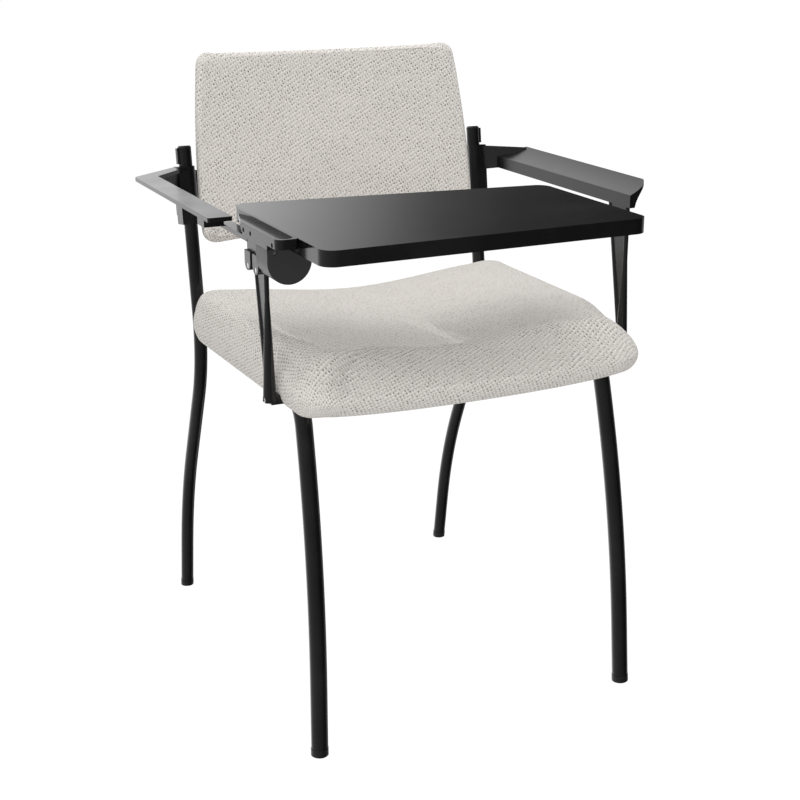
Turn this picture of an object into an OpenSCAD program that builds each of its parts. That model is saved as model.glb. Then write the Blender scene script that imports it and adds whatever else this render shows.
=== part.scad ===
/* [Frame] */

// Diameter of the front legs and side rails, mm
front_tube_d = 22; // [21:0.5:23]
// Diameter of the rear legs and uprights, mm
rear_tube_d = 19; // [18:0.5:20]
// Wall thickness of the tubes, mm
tube_wall = 1.5; // [1:0.25:2]
// Height of the side rails' centre line above the floor, mm
rail_z = 458; // [450:1:466]
// Distance of a front foot inside the seat's side edge, mm
front_foot_in = 14.5; // [12.5:0.5:15.5]
// Distance of the front feet behind the seat's front edge, mm
front_foot_back = 13; // [6:1:20]
// Lean of a front leg at the foot, degrees
front_lean = 3.6; // [3:0.1:4.2]
// Inward lean of a front leg towards the seat, degrees
front_side_lean = 1.6; // [1.4:0.1:2]
// Distance of a rear foot inside the seat's front side edge, mm
rear_foot_in = 16.5; // [14.5:0.5:17.5]
// Distance of the rear feet behind the seat's rear edge, mm
rear_foot_back = 145; // [138:1:155]
// Lean of a rear leg at the foot, degrees
rear_lean = 8.9; // [8:0.1:9.8]
// Height of the uprights' caps above the armrests' underside, mm
upright_over_arm = 58; // [48:1:72]
// Length of a foot glide that shows below its tube, mm
glide_h = 10; // [8:1:14]

/* [Seat] */

// Half width of the seat cushion at its front, mm
seat_w = 242.5; // [220:0.5:270]
// Depth of the seat cushion from front to rear, mm
seat_depth = 431; // [420:1:440]
// Radius of the seat cushion's corners in plan, mm
seat_corner_r = 34; // [30:1:40]
// Height of the seat's middle above the rails' centre line, mm
seat_middle_h = 43; // [40:1:48]
// Height of the seat's raised sides above its middle, mm
seat_side_rise = 23; // [18:1:28]
// Thickness of the seat pan, mm
pan_t = 10; // [8:1:12]

/* [Backrest] */

// Height of the backrest's lower edge, mm
back_bottom_z = 581; // [576:1:590]
// Height of the backrest's upper edge, mm
back_top_z = 839; // [820:1:860]
// Distance of the backrest pad's widest edge inside the uprights' feet, mm
back_side_gap = 9.5; // [9:0.5:14]
// Lean of the backrest, degrees
back_lean = 9.4; // [8:0.1:10.5]
// Depth of the backrest's curve, mm
back_hollow = 27; // [20:1:34]
// Thickness of the backrest pad, mm
back_t = 24; // [22:1:28]
// Thickness of the backrest's shell, mm
shell_t = 5; // [4:0.5:7]

/* [Armrests] */

// Height of the armrests' underside, mm
arm_z = 657; // [650:1:665]
// Distance of the front posts outside the seat's side edge, mm
post_out = 11.8; // [11:0.1:13.5]
// Length of a front post's foot below the rails' top, mm
post_foot_h = 11; // [9:1:13]
// Reach of the right armrest outside its front post, mm
wing_reach = 22.7; // [20:0.1:27]
// Reach of the left armrest band outside its front post, mm
band_reach = 61.7; // [56:0.1:68]
// Width of the left armrest band, mm
band_w = 30; // [26:0.5:30]
// Thickness of the left armrest band, mm
band_t = 5.5; // [4:0.5:7]

/* [Tablet] */

// Thickness of the writing board, mm
board_t = 19; // [16:0.5:20]
// Height of the board's underside above the hinge's flat top, mm
board_gap = 0.4; // [0.3:0.1:0.8]
// Distance of the board's right edge inside the right post, mm
board_right_in = 72.8; // [64:0.1:94]
// Overhang of the board in front of the seat, mm
board_overhang = 73; // [60:1:80]
// Radius of the board's corners, mm
board_corner_r = 18; // [12:1:26]
// Width of the rail beside the board, mm
rail_w = 27.3; // [25:0.1:28]
// Diameter of the pin that the tablet flips up about, mm
flip_pin_d = 4; // [3.5:0.1:4.4]
// Diameter of the pin that the tablet swings about, mm
swing_pin_d = 8; // [7:0.5:9]

/* [Hidden] */

$fn = 96;

// running clearance between a shaft and its bore, on the radius
run_gap = 0.05;
// clearance between parts that pass each other
pass_gap = 0.4;
// overlap of cutting bodies past the faces that they cut
past = 1;

front_r = front_tube_d / 2;
rear_r = rear_tube_d / 2;

// the seat's edges place the frame, the armrests and the tablet round it
seat_front_y = -136;
seat_rear_y = seat_front_y + seat_depth;
front_foot_x = seat_w - front_foot_in;
front_foot_y = seat_front_y + front_foot_back;
rear_foot_x = seat_w - rear_foot_in;
rear_foot_y = seat_rear_y + rear_foot_back;
upright_top_z = arm_z + upright_over_arm;
back_w = rear_foot_x - back_side_gap;
post_x = seat_w + post_out;
post_y = seat_front_y + 89.3;
wing_edge_x = post_x + wing_reach;
band_edge_x = post_x + band_reach;
board_right_x = post_x - board_right_in;
board_front_y = seat_front_y - board_overhang;

// bends of the front leg: the long curve, then the tight bend into the rail
front_curve_a = 11.8;
front_curve_r = 1636;
front_bend_r = 45;
front_top_lean = front_lean + front_curve_a;
front_straight = (rail_z / cos(front_side_lean)
    - front_curve_r * (sin(front_top_lean) - sin(front_lean))
    - front_bend_r * (1 - sin(front_top_lean))) / cos(front_lean);
rail_start_y = front_foot_y + front_straight * sin(front_lean)
    + front_curve_r * (cos(front_lean) - cos(front_top_lean))
    + front_bend_r * cos(front_top_lean);
rail_x = front_foot_x - rail_z * tan(front_side_lean);
rail_top_z = rail_z + front_r;

// bends of the rear leg, with the waist just below the rails
rear_side_lean = 0.2;
rear_low_straight = 82;
rear_low_a = 15.5;
rear_low_r = 623;
rear_mid_lean = rear_lean + rear_low_a;
rear_waist_r = 232.5;
upright_lean = 7.8;
rear_waist_a = rear_mid_lean + upright_lean;
waist_z = rail_z - 11;
rear_mid_straight = (waist_z - rear_low_straight * cos(rear_lean)
    - rear_low_r * (sin(rear_mid_lean) - sin(rear_lean))
    - rear_waist_r * sin(rear_mid_lean)) / cos(rear_mid_lean);
waist_y = rear_foot_y - rear_low_straight * sin(rear_lean)
    - rear_low_r * (cos(rear_lean) - cos(rear_mid_lean))
    - rear_mid_straight * sin(rear_mid_lean)
    - rear_waist_r * (1 - cos(rear_mid_lean));
upright_z = waist_z + rear_waist_r * sin(upright_lean);
upright_y = waist_y + rear_waist_r * (1 - cos(upright_lean));
cap_t = 5;
upright_straight = (upright_top_z - cap_t - upright_z) / cos(upright_lean);

// centre of an upright at a height on its top straight
function upright_at(z) = [rear_foot_x + z * tan(rear_side_lean),
    upright_y + (z - upright_z) * tan(upright_lean), z];

// seat: the pan lies on the rails, the cushion's skirt hangs round both
pan_top_z = rail_top_z + pan_t;
seat_bulge_z = rail_z + 20;
skirt_z = rail_z - 15;
skirt_side_in = 13;
skirt_front_in = 30;
skirt_rear_in = 8;
skirt_wall = 3.5;
seat_widening = 0.036;
rear_skirt_lift = front_tube_d + 9;

// backrest: a part of a drum of this radius, standing on its lower edge
back_h = (back_top_z - back_bottom_z) / cos(back_lean) + 3;
back_r = (back_w * back_w + back_hollow * back_hollow) / (2 * back_hollow);
back_front_y = upright_at(back_bottom_z)[1] - 17.5;

// armrests
arm_sleeve_low = arm_z - 50;
arm_sleeve_high = arm_z + 30;
sleeve_in = rear_r + 1.3;
sleeve_out = rear_r + 5.2;
sleeve_half = rear_r + 3;
bolt_d = 6;
bolt_head_d = 10;
bolt_head_h = 4;
ear_t = 8;
band_z = arm_z + 29 - band_t;
wing_top_z = arm_z + 35;

// hinge of the tablet, on the left; drawn with positive distances and mirrored
post_base_r = 8.6;
post_top_r = 3.2;
post_taper_h = 127;
post_slope = 0.2;
post_bottom_z = rail_top_z - post_foot_h;
base_low_z = arm_z - 14;
hinge_top_z = arm_z + 0.8;
flip_x = post_x + 6.1;
flip_z = hinge_top_z - 4.4;
knuckle_r = 4.1;
base_front_y = post_y - 10.5;
base_rear_y = post_y + 36.1;
lobe_r = 9.8;
lobe_y = [base_front_y + lobe_r + 0.2, base_rear_y - lobe_r + 0.4];
lobe_out = post_x + 13.7;
bridge_y = post_y + 118.7;
bridge_w = 12;
bridge_z = hinge_top_z - 3;
drum_front_y = base_front_y - 38.8;
drum_rear_y = base_front_y - 1.8;
drum_x = post_x - 11.4;
drum_r = 27.7;
drum_z = hinge_top_z - 15.4;
swing_x = post_x - 20.3;
swing_y = (drum_front_y + drum_rear_y) / 2;
bush_wall = 0.8;
board_z = hinge_top_z + board_gap;
board_left_x = post_x - 7.9;
board_rear_y = board_front_y + 302;
board_rear_right_y = board_front_y + 257;
board_front_right_y = board_front_y + 5;
rail_low_z = board_z + 8;
tablet_rail_top_z = board_z + board_t + 1;
rail_in_x = board_left_x + 0.3;
rail_out_x = rail_in_x + rail_w;
rail_front_y = board_front_y + 71;
rail_bottom_t = 6.4;
screw_d = 4;

// the object's outermost edges place its footprint on the origin
rear_glide_r = rear_r + 0.4;
edge_rear_y = rear_foot_y + rear_glide_r / cos(rear_lean) - 2 * tan(rear_lean);
chair_x = (band_edge_x - wing_edge_x) / 2;
chair_y = -(board_front_y + edge_rear_y) / 2;

module in_frame() {
    translate([chair_x, chair_y, 0]) children();
}

module sided(side) {
    if (side < 0) {
        mirror([1, 0, 0]) children();
    } else {
        children();
    }
}

// tubes

// section of a tube; a wall of 0 leaves it solid
module tube_section(d, wall) {
    difference() {
        circle(d = d);
        if (wall > 0) {
            circle(d = d - 2 * wall);
        }
    }
}

// a run of straights and bends in the YZ plane; steps are [length, angle, radius]
module run(steps, d, wall, k = 0) {
    joint_l = 0.3;
    joint_t = 0.05;
    if (k < len(steps)) {
        length = steps[k][0];
        angle = steps[k][1];
        radius = steps[k][2];
        if (length > 0) {
            linear_extrude(height = length) tube_section(d, wall);
        }
        translate([0, 0, length]) {
            if (angle != 0) {
                rotate([0, 0, angle < 0 ? 180 : 0])
                    translate([0, radius, 0])
                        rotate([90, 0, 0])
                            rotate([0, -90, 0])
                                rotate_extrude(angle = abs(angle))
                                    translate([radius, 0]) tube_section(d, wall);
            }
            translate([0, sign(angle) * radius * (1 - cos(angle)), radius * sin(abs(angle))])
                rotate([-angle, 0, 0]) {
                    // a slight collar covers the joint with the next piece
                    if (k < len(steps) - 1) {
                        translate([0, 0, -joint_l])
                            linear_extrude(height = 2 * joint_l)
                                tube_section(d + 2 * joint_t, wall == 0 ? 0 : wall + 2 * joint_t);
                    }
                    run(steps, d, wall, k + 1);
                }
        }
    }
}

front_steps = [
    [front_straight - glide_h, front_curve_a, front_curve_r],
    [0, 90 - front_top_lean, front_bend_r],
    [waist_y - rail_start_y - 2, 0, 0]
];

rear_steps = [
    [rear_low_straight - glide_h, -rear_low_a, rear_low_r],
    [rear_mid_straight, rear_waist_a, rear_waist_r],
    [upright_straight, 0, 0]
];

module front_place() {
    translate([front_foot_x, front_foot_y, 0])
        rotate([0, -front_side_lean, 0])
            rotate([-front_lean, 0, 0]) children();
}

module rear_place() {
    translate([rear_foot_x, rear_foot_y, 0])
        rotate([0, rear_side_lean, 0])
            rotate([rear_lean, 0, 0]) children();
}

module front_outer() {
    front_place() translate([0, 0, glide_h]) run(front_steps, front_tube_d, 0);
}

// the bend of a rear leg at the seat, as a solid
module rear_waist() {
    translate([rear_foot_x, 0, 0]) rotate([0, rear_side_lean, 0])
        translate([0, waist_y + rear_waist_r, waist_z]) rotate([0, 90, 0])
            rotate_extrude() translate([rear_waist_r, 0]) circle(r = rear_r + run_gap);
}

module upright_place(z) {
    translate(upright_at(z)) rotate([0, rear_side_lean, 0]) rotate([-upright_lean, 0, 0]) children();
}

cross_front_y = rail_start_y + 40;
screw_y = [cross_front_y + 24, waist_y - 60];

module front_leg(side) {
    color("#1b1b1c") in_frame() sided(side)
        difference() {
            front_place() translate([0, 0, glide_h]) run(front_steps, front_tube_d, tube_wall);
            translate([rail_x - 30, waist_y, rail_z]) rotate([0, 90, 0])
                cylinder(h = 60, d = front_tube_d);
            translate([upright_at(rail_z)[0], waist_y, rail_z - front_tube_d])
                cylinder(h = 2 * front_tube_d, r = rear_r + pass_gap);
            for (y = screw_y)
                translate([rail_x, y, rail_z - front_tube_d])
                    cylinder(h = 2 * front_tube_d, d = 5 + 2 * run_gap);
        }
}

module rear_leg(side) {
    color("#1b1b1c") in_frame() sided(side)
        difference() {
            rear_place() translate([0, 0, glide_h]) run(rear_steps, rear_tube_d, tube_wall);
            for (z = bolt_z)
                upright_place(z) rotate([-90, 0, 0])
                    cylinder(h = rear_tube_d, d = bolt_d + 2 * run_gap);
        }
}

// the cross tubes end in the shape of the tubes that they are welded to
module cross_tube_front() {
    color("#1b1b1c") in_frame()
        difference() {
            translate([-rail_x, cross_front_y, rail_z]) rotate([0, 90, 0])
                cylinder(h = 2 * rail_x, d = rear_tube_d);
            translate([-rail_x - past, cross_front_y, rail_z]) rotate([0, 90, 0])
                cylinder(h = 2 * rail_x + 2 * past, d = rear_tube_d - 2 * tube_wall);
            for (side = [-1, 1])
                translate([side * rail_x, cross_front_y - front_tube_d, rail_z]) rotate([-90, 0, 0])
                    cylinder(h = 2 * front_tube_d, d = front_tube_d);
        }
}

module cross_tube_rear() {
    tube_end = rear_foot_x + rail_z * tan(rear_side_lean);
    color("#1b1b1c") in_frame()
        difference() {
            translate([-tube_end, waist_y, rail_z]) rotate([0, 90, 0])
                cylinder(h = 2 * tube_end, d = front_tube_d);
            translate([-tube_end - past, waist_y, rail_z]) rotate([0, 90, 0])
                cylinder(h = 2 * tube_end + 2 * past, d = front_tube_d - 2 * tube_wall);
            for (side = [-1, 1])
                sided(side) rear_waist();
        }
}

// glide: a rounded collar below the tube, with a stem inside it
module glide(collar_r, bore_r) {
    round_r = 2;
    translate([0, 0, round_r - 1.6])
        cylinder(h = glide_h + 1.6 - round_r, r = collar_r);
    translate([0, 0, -1.6])
        cylinder(h = round_r, r1 = collar_r - round_r, r2 = collar_r);
    cylinder(h = glide_h + 22, r = bore_r - run_gap);
}

module foot(side, front) {
    color("#101011") in_frame() sided(side)
        difference() {
            if (front) {
                front_place() glide(front_r + 0.4, front_r - tube_wall);
            } else {
                rear_place() glide(rear_glide_r, rear_r - tube_wall);
            }
            translate([0, -500, -20]) cube([500, 1500, 20]);
        }
}

// cap: a lid with a stem inside the tube and a stacking bumper on the outer side
module cap(side) {
    color("#101011") in_frame() sided(side)
        upright_place(upright_top_z - cap_t) {
            difference() {
                cylinder(h = cap_t, r = rear_r);
                difference() {
                    translate([0, 0, cap_t - 2]) cylinder(h = 3, r = rear_r + past);
                    translate([0, 0, cap_t - 2 - 0.01]) cylinder(h = 2.02, r1 = rear_r, r2 = rear_r - 2);
                }
            }
            translate([0, 0, -18]) cylinder(h = 19, r = rear_r - tube_wall - run_gap);
            difference() {
                translate([0, -4, -20]) cube([rear_r + 2.4, 8, 22]);
                translate([0, 0, -40]) cylinder(h = 40, r = rear_r + 2 * run_gap);
            }
        }
}

// forms

function clamp01(t) = min(1, max(0, t));
function smooth(t) = 0.5 - 0.5 * cos(180 * clamp01(t));
function corner_arc(cx, cy, r, a0, k) = [for (i = [0:k])
    let (a = a0 + 90 * i / k) [cx + r * cos(a), cy + r * sin(a), cos(a), sin(a)]];
function between(p, q, m) = [for (i = [1:m - 1]) p * (1 - i / m) + q * i / m];

// closed outline of a rounded rectangle; each point carries its outward normal
function round_outline(w, y0, y1, r, k, m) =
    let (a = corner_arc(w - r, y1 - r, r, 0, k),
         b = corner_arc(r - w, y1 - r, r, 90, k),
         c = corner_arc(r - w, y0 + r, r, 180, k),
         d = corner_arc(w - r, y0 + r, r, 270, k))
    concat(a, between(a[k], b[0], m), b, between(b[k], c[0], m),
        c, between(c[k], d[0], m), d, between(d[k], a[0], m));

// rise of a rounded edge over its width, from 0 at the rim to 1 inside
function roll(t, p) = pow(1 - pow(1 - clamp01(t), p), 1 / p);
function by_normal(n, side, front, rear) =
    side * n[0] * n[0] + (n[1] < 0 ? front : rear) * n[1] * n[1];

// solid between rings of equally many points, closed by two middle points
module ring_solid(rings, first, last) {
    n = len(rings[0]);
    m = len(rings);
    points = concat([for (ring = rings) each ring], [first, last]);
    polyhedron(points = points, faces = concat(
        [for (i = [0:n - 1]) [n * m, (i + 1) % n, i]],
        [for (j = [0:m - 2]) for (i = [0:n - 1]) each [
            [j * n + i, j * n + (i + 1) % n, (j + 1) * n + (i + 1) % n],
            [j * n + i, (j + 1) * n + (i + 1) % n, (j + 1) * n + i]]],
        [for (i = [0:n - 1]) [n * m + 1, (m - 1) * n + i, (m - 1) * n + (i + 1) % n]]));
}

seat_mid_y = (seat_front_y + seat_rear_y) / 2;
seat_half_d = (seat_rear_y - seat_front_y) / 2;
seat_outline = round_outline(seat_w, seat_front_y, seat_rear_y, seat_corner_r, 6, 6);

// crowned saddle: high along both sides, lower in the middle
function seat_top(x, y) =
    let (t = (y - seat_mid_y) / seat_half_d)
    rail_z + seat_middle_h + 6 * t * t
    + (seat_side_rise - 6 * t * t) * smooth(abs(x) / (seat_w - 18));
function seat_wide(x, y) = x * (1 + seat_widening * (y - seat_front_y) / (seat_rear_y - seat_front_y));
function seat_point(o, in, z) =
    let (y = o[1] - in * o[3])
    [seat_wide(o[0] - in * o[2], y), y, z];
function seat_reach(o) = abs(o[0] * o[2]) + abs((o[1] - seat_mid_y) * o[3]);
function seat_upper(o, s) =
    let (x = o[0] * (1 - s), y = seat_mid_y + (o[1] - seat_mid_y) * (1 - s),
         d = s * seat_reach(o) / by_normal([o[2], o[3]], 18, 78, 26),
         p = by_normal([o[2], o[3]], 2, 1.35, 2))
    [seat_wide(x, y), y, seat_bulge_z + (seat_top(x, y) - seat_bulge_z) * roll(d, p)];
function seat_lower(o, a) =
    let (in = by_normal([o[2], o[3]], skirt_side_in, skirt_front_in, skirt_rear_in) * (1 - cos(a)),
         low = skirt_z + rear_skirt_lift * smooth((o[3] - 0.1) / 0.35))
    seat_point(o, in, seat_bulge_z - (seat_bulge_z - low) * sin(a));
function seat_inner(o, z) =
    let (in = by_normal([o[2], o[3]], skirt_side_in, skirt_front_in, skirt_rear_in) + skirt_wall,
         low = skirt_z + rear_skirt_lift * smooth((o[3] - 0.1) / 0.35))
    seat_point(o, in, max(z, low));

module seat_form() {
    ring_solid(concat(
        [for (s = [0.8, 0.6, 0.42, 0.3, 0.2, 0.13, 0.08, 0.045, 0.02, 0.006])
            [for (o = seat_outline) seat_upper(o, s)]],
        [for (a = [0, 25, 50, 72, 90]) [for (o = seat_outline) seat_lower(o, a)]],
        [for (z = [skirt_z, pan_top_z]) [for (o = seat_outline) seat_inner(o, z)]]),
        [0, seat_mid_y, seat_top(0, seat_mid_y)], [0, seat_mid_y, pan_top_z]);
}

lug_y = post_y;
lug_z = rail_z + 3;
lug_w = 13;
lug_h = 12;

module seat_cushion() {
    color("#cbc7c1") in_frame()
        difference() {
            seat_form();
            for (side = [-1, 1])
                sided(side)
                    translate([seat_w - 30, lug_y - lug_w / 2 - pass_gap, lug_z - lug_h / 2 - pass_gap])
                        cube([60, lug_w + 2 * pass_gap, lug_h + 2 * pass_gap]);
        }
}

pan_w = seat_w - skirt_side_in - skirt_wall - 0.5;
pan_front_y = seat_front_y + skirt_front_in + skirt_wall + 0.5;
pan_rear_y = seat_rear_y - skirt_rear_in - skirt_wall - 0.5;

// a plate with round corners from the centres of its corner circles
function edge_normal(p, q) = let (d = q - p) [d[1], -d[0]] / norm(d);
module round_plate(centres, r, h) {
    n = len(centres);
    linear_extrude(height = h) {
        polygon([for (i = [0:n - 1]) each [
            centres[i] + r * edge_normal(centres[(i + n - 1) % n], centres[i]),
            centres[i] + r * edge_normal(centres[i], centres[(i + 1) % n])]]);
        for (c = centres)
            translate(c) circle(r = r);
    }
}

module seat_pan() {
    r = 36;
    color("#b08a5b") in_frame()
        difference() {
            translate([0, 0, rail_top_z])
                round_plate([[r - pan_w, pan_front_y + r], [pan_w - r, pan_front_y + r],
                    [pan_w - r, pan_rear_y - r], [r - pan_w, pan_rear_y - r]], r, pan_t);
            for (side = [-1, 1])
                for (y = screw_y)
                    translate([side * rail_x, y, rail_top_z - past])
                        cylinder(h = pan_t - 2 + past, d = 5 + 2 * run_gap);
        }
}

module seat_screws() {
    color("#8d8f92") in_frame()
        for (side = [-1, 1])
            for (y = screw_y)
                translate([side * rail_x, y, rail_z - front_r]) {
                    cylinder(h = front_tube_d + pan_t - 3, d = 5);
                    translate([0, 0, -3]) cylinder(h = 3, d = 10);
                }
}

// backrest

module back_place() {
    translate([0, back_front_y, back_bottom_z]) rotate([-back_lean, 0, 0]) children();
}

// distance behind the front edges of a point that lies t behind the drum's surface
function back_depth(x, t) = sqrt(pow(back_r + t, 2) - x * x) - (back_r - back_hollow);
function back_taper(h) =
    h > 37 ? 1 - 0.0715 * pow((h - 37) / 217, 2) : 1 - 0.014 * pow((37 - h) / 37, 2);
back_outline = round_outline(back_w, 0, back_h, 16, 5, 7);
function back_point(o, s, in, t) =
    let (h = back_h / 2 + (o[1] - in * o[3] - back_h / 2) * (1 - s),
         x = (o[0] - in * o[2]) * (1 - s) * back_taper(h))
    [x, back_depth(x, t), h];

module back_form() {
    back_crown = 4;
    ring_solid(concat(
        [for (s = [0.8, 0.6, 0.4, 0.25, 0.12])
            [for (o = back_outline) back_point(o, s, 0, back_crown * (1 - s * s) - back_crown)]],
        [for (i = [9, 5, 2.5, 0.8])
            [for (o = back_outline) back_point(o, 0, i, 5 * (1 - roll(i / 10, 2)))]],
        [for (c = [[0, 5], [0, 8], [3, 14], [8, back_t - 5], [13, back_t - 1], [16, back_t]])
            [for (o = back_outline) back_point(o, 0, c[0], c[1])]],
        [for (s = [0.15, 0.35, 0.55, 0.75])
            [for (o = back_outline) back_point(o, s, 16, back_t)]]),
        [0, back_depth(0, -back_crown), back_h / 2], [0, back_depth(0, back_t), back_h / 2]);
}

module back_cushion() {
    color("#cbc7c1") in_frame() back_place() back_form();
}

bolt_z = [arm_z - 36, arm_z + 14];

module back_shell() {
    edge = 17;
    tab_low = (arm_sleeve_low + 6 - back_bottom_z) / cos(back_lean);
    tab_high = (arm_sleeve_high - 4 - back_bottom_z) / cos(back_lean);
    tab_x = back_w - 5;
    top_w = back_w * back_taper(back_h) - edge;
    color("#161617") in_frame() {
        back_place()
            intersection() {
                translate([0, back_hollow - back_r, edge / 2])
                    difference() {
                        cylinder(h = back_h - edge, r = back_r + back_t + shell_t, $fn = 240);
                        translate([0, 0, -past])
                            cylinder(h = back_h, r = back_r + back_t + 0.15, $fn = 240);
                    }
                translate([0, 3 * back_t + back_hollow, 0]) rotate([90, 0, 0])
                    linear_extrude(height = 3 * back_t + back_hollow)
                        polygon([[-back_w + edge, 0], [back_w - edge, 0],
                            [back_w - edge, tab_low], [tab_x, tab_low],
                            [tab_x, tab_high], [back_w - edge, tab_high],
                            [top_w, back_h], [-top_w, back_h],
                            [edge - back_w, tab_high], [-tab_x, tab_high],
                            [-tab_x, tab_low], [edge - back_w, tab_low]]);
            }
        for (side = [-1, 1])
            sided(side)
                difference() {
                    upright_place(arm_sleeve_low + 12)
                        translate([back_w - 12 - rear_foot_x, sleeve_half, 0])
                            cube([rear_foot_x + sleeve_out - 1.5 - back_w + 12, ear_t,
                                arm_sleeve_high - arm_sleeve_low - 24]);
                    for (z = bolt_z)
                        upright_place(z) rotate([-90, 0, 0])
                            cylinder(h = 60, d = bolt_d + 2 * run_gap);
                }
    }
}

module sleeve_bolts(side) {
    color("#8d8f92") in_frame() sided(side)
        for (z = bolt_z)
            upright_place(z) rotate([-90, 0, 0]) {
                cylinder(h = sleeve_half + ear_t, d = bolt_d);
                translate([0, 0, sleeve_half + ear_t])
                    cylinder(h = bolt_head_h, d = bolt_head_d);
            }
}

// armrests

module sleeve() {
    sleeve_h = (arm_sleeve_high - arm_sleeve_low) / cos(upright_lean);
    difference() {
        upright_place(arm_sleeve_low)
            difference() {
                union() {
                    intersection() {
                        cylinder(h = sleeve_h, r = sleeve_half);
                        translate([-sleeve_in, -sleeve_half, 0])
                            cube([sleeve_in + sleeve_out, 2 * sleeve_half, sleeve_h]);
                    }
                    translate([0, -sleeve_half, 0]) cube([sleeve_out, 2 * sleeve_half, sleeve_h]);
                }
                translate([0, 0, -past]) cylinder(h = sleeve_h + 2 * past, r = rear_r);
            }
        for (z = bolt_z)
            upright_place(z) rotate([-90, 0, 0])
                cylinder(h = 60, d = bolt_d + 2 * run_gap);
    }
}

// upright wall from one point of the plan to another, with sloping edges
module wall(from, to, low0, low1, high0, high1, t) {
    d = to - from;
    translate([from[0], from[1], 0]) rotate([0, 0, atan2(d[1], d[0])])
        rotate([90, 0, 0])
            linear_extrude(height = t, center = true)
                polygon([[0, low0], [norm(d), low1], [norm(d), high1], [0, high0]]);
}

// section of the right armrest: dished top, hollow underside, upright inner edge
module wing_section() {
    top_r = 88;
    low_r = 49;
    difference() {
        polygon([[post_x - 4.3, arm_z], [post_x + 3.7, arm_z], [wing_edge_x, wing_top_z - 5],
            [wing_edge_x, wing_top_z], [post_x - 4.3, arm_z + 17]]);
        translate([wing_edge_x - 61.5, wing_top_z + 63]) circle(r = top_r);
        translate([wing_edge_x + 29, arm_z - 9.7]) circle(r = low_r);
    }
}

module armrest_right() {
    wing_front_y = post_y - 11.3;
    rear = upright_at(arm_z);
    wing_rear_y = rear[1] - 73.573;
    color("#161617") in_frame() {
        intersection() {
            translate([0, rear[1], 0]) rotate([90, 0, 0])
                linear_extrude(height = rear[1] - wing_front_y) wing_section();
            translate([0, 0, arm_z - past])
                linear_extrude(height = 60) {
                    translate([wing_edge_x - 14, wing_front_y + 14]) circle(r = 14);
                    polygon([[post_x - 10, wing_front_y], [wing_edge_x - 14, wing_front_y],
                        [wing_edge_x, wing_front_y + 14], [wing_edge_x, wing_rear_y],
                        [post_x, rear[1] - 22], [post_x - 10, rear[1] - 22]]);
                }
        }
        sleeve();
        difference() {
            wall([rear[0] + 6, rear[1] + 3], [wing_edge_x - 2, wing_rear_y - 2],
                arm_z - 8, arm_z + 8, arm_z + 29, wing_top_z - 1, 5);
            upright_place(arm_sleeve_low - 10) cylinder(h = 120, r = rear_r);
        }
    }
}

module armrest_left() {
    rear = upright_at(band_z);
    band_in = band_edge_x - band_w;
    band_front_y = post_y + 24.7;
    band_rear_y = rear[1] - 47.792;
    color("#161617") in_frame() sided(-1) {
        difference() {
            translate([0, 0, band_z])
                linear_extrude(height = band_t)
                    polygon([[band_in, band_front_y], [band_edge_x - 2, band_front_y],
                        [band_edge_x, band_front_y + 2], [band_edge_x, band_rear_y - 4],
                        [band_edge_x - 3, band_rear_y], [rear[0] + sleeve_out - 3, rear[1] + 8],
                        [rear[0], rear[1] - sleeve_half], [rear[0] + sleeve_out, rear[1] - sleeve_half - 4],
                        [band_in, band_rear_y - 9]]);
            upright_place(arm_sleeve_low - 10) cylinder(h = 120, r = rear_r);
        }
        sleeve();
        difference() {
            wall([rear[0] + 6, rear[1] - 2], [band_in + 12, band_rear_y - 7],
                arm_z - 18, band_z - 5, band_z + 1, band_z + 1, 5);
            upright_place(arm_sleeve_low - 10) cylinder(h = 120, r = rear_r);
        }
        // the riser and the bridge from the band to the hinge base
        translate([band_in + 1, bridge_y, bridge_z])
            cube([4, bridge_w + 14, band_z - bridge_z + 1]);
        translate([flip_x + 4.5, bridge_y, bridge_z])
            cube([band_in + 3 - flip_x - 4.5, bridge_w, 6]);
    }
}

// post: a tapering front column, a rear rod and the web between them
module post_body(top_z) {
    post_h = top_z - post_bottom_z;
    lean = atan(post_slope);
    fin = post_slope * post_h;
    translate([post_x, post_y, post_bottom_z]) {
        cylinder(h = post_taper_h, r1 = post_base_r, r2 = post_top_r);
        translate([0, 0, post_taper_h]) cylinder(h = post_h - post_taper_h, r = post_top_r);
        intersection() {
            rotate([-lean, 0, 0])
                cylinder(h = post_h / cos(lean) + 8, r1 = 4.6, r2 = post_top_r);
            translate([-20, -20, 0]) cube([40, 90, post_h]);
        }
        rotate([90, 0, -90])
            translate([0, 0, -1.5])
                linear_extrude(height = 3)
                    polygon([[0, 0], [0, post_h], [-fin, post_h]]);
    }
}

module post(side) {
    top_z = side > 0 ? arm_z : base_low_z;
    color("#161617") in_frame() sided(side)
        difference() {
            post_body(top_z);
            bolt_bore();
            if (side < 0) {
                screw_bores();
            }
        }
}

module bolt_bore() {
    translate([0, lug_y, lug_z]) rotate([0, 90, 0]) {
        cylinder(h = 2 * post_x, d = 5 + 2 * run_gap);
        translate([0, 0, post_x + post_base_r - 5]) cylinder(h = 20, d = 8.4);
    }
}

module post_lug(side) {
    color("#1b1b1c") in_frame() sided(side)
        difference() {
            translate([rail_x, lug_y - lug_w / 2, lug_z - lug_h / 2])
                cube([post_x - rail_x, lug_w, lug_h]);
            front_outer();
            post_body(arm_z);
            bolt_bore();
        }
}

module post_bolt(side) {
    color("#8d8f92") in_frame() sided(side)
        translate([0, lug_y, lug_z]) rotate([0, 90, 0]) {
            translate([0, 0, rail_x + front_r + 3])
                cylinder(h = post_x + post_base_r - rail_x - front_r - 7, d = 5);
            translate([0, 0, post_x + post_base_r - 5]) cylinder(h = 3, d = 8);
        }
}

// hinge

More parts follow.
